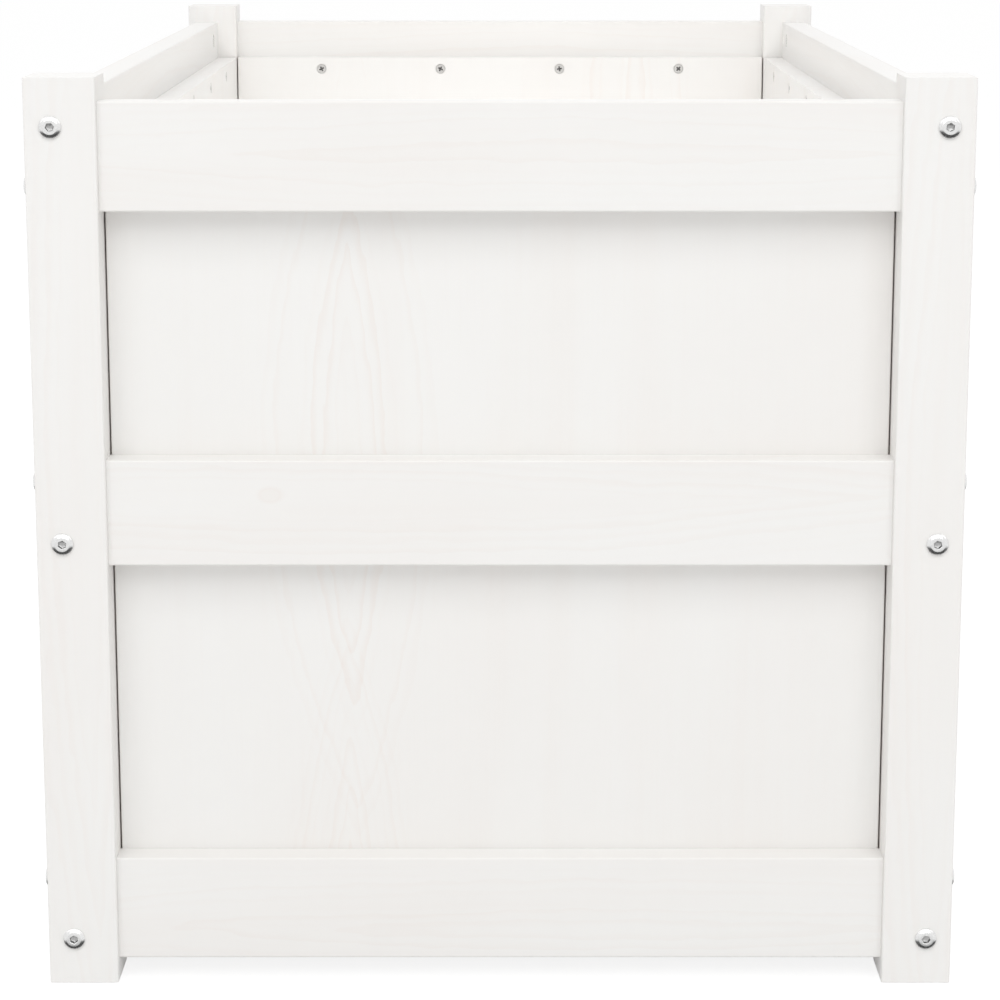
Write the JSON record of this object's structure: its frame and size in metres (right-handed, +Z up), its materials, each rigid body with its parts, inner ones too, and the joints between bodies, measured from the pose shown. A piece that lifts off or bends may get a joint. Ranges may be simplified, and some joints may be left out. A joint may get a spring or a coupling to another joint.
{
  "type": "versailles planter",
  "caption": "Oblong painted wooden planter box with square corner posts, bolted rails outside boarded walls and a slatted floor, raised on short feet.",
  "frame": {"origin": "on the ground under the middle of the box", "axes": "+Z up, Y along the long walls, X across; the pictured short wall faces -Y"},
  "size_m": [0.505, 0.905, 0.5],
  "materials": {
    "white_paint": "satin white paint on planed softwood, grain faintly showing",
    "zinc_steel": "bright zinc plate"
  },
  "bodies": {
    "root": {"post_front_left": "white_paint", "post_front_right": "white_paint", "post_rear_left": "white_paint", "post_rear_right": "white_paint", "rail_front_bottom": "white_paint", "rail_front_middle": "white_paint", "rail_front_top": "white_paint", "rail_right_bottom": "white_paint", "rail_right_middle": "white_paint", "rail_right_top": "white_paint", "rail_rear_bottom": "white_paint", "rail_rear_middle": "white_paint", "rail_rear_top": "white_paint", "rail_left_bottom": "white_paint", "rail_left_middle": "white_paint", "rail_left_top": "white_paint", "panel_front": "white_paint", "panel_right": "white_paint", "panel_rear": "white_paint", "panel_left": "white_paint", "floor_bearer_left": "white_paint", "floor_bearer_right": "white_paint", "floor_slat_1": "white_paint", "floor_slat_2": "white_paint", "floor_slat_3": "white_paint", "floor_slat_4": "white_paint", "floor_slat_5": "white_paint", "floor_slat_6": "white_paint", "floor_slat_7": "white_paint", "floor_slat_8": "white_paint", "bolt_front_bottom_left": "zinc_steel", "bolt_front_bottom_right": "zinc_steel", "bolt_front_middle_left": "zinc_steel", "bolt_front_middle_right": "zinc_steel", "bolt_front_top_left": "zinc_steel", "bolt_front_top_right": "zinc_steel", "bolt_right_bottom_front": "zinc_steel", "bolt_right_bottom_rear": "zinc_steel", "bolt_right_middle_front": "zinc_steel", "bolt_right_middle_rear": "zinc_steel", "bolt_right_top_front": "zinc_steel", "bolt_right_top_rear": "zinc_steel", "bolt_rear_bottom_right": "zinc_steel", "bolt_rear_bottom_left": "zinc_steel", "bolt_rear_middle_right": "zinc_steel", "bolt_rear_middle_left": "zinc_steel", "bolt_rear_top_right": "zinc_steel", "bolt_rear_top_left": "zinc_steel", "bolt_left_bottom_rear": "zinc_steel", "bolt_left_bottom_front": "zinc_steel", "bolt_left_middle_rear": "zinc_steel", "bolt_left_middle_front": "zinc_steel", "bolt_left_top_rear": "zinc_steel", "bolt_left_top_front": "zinc_steel"}
  },
  "joints": []
}
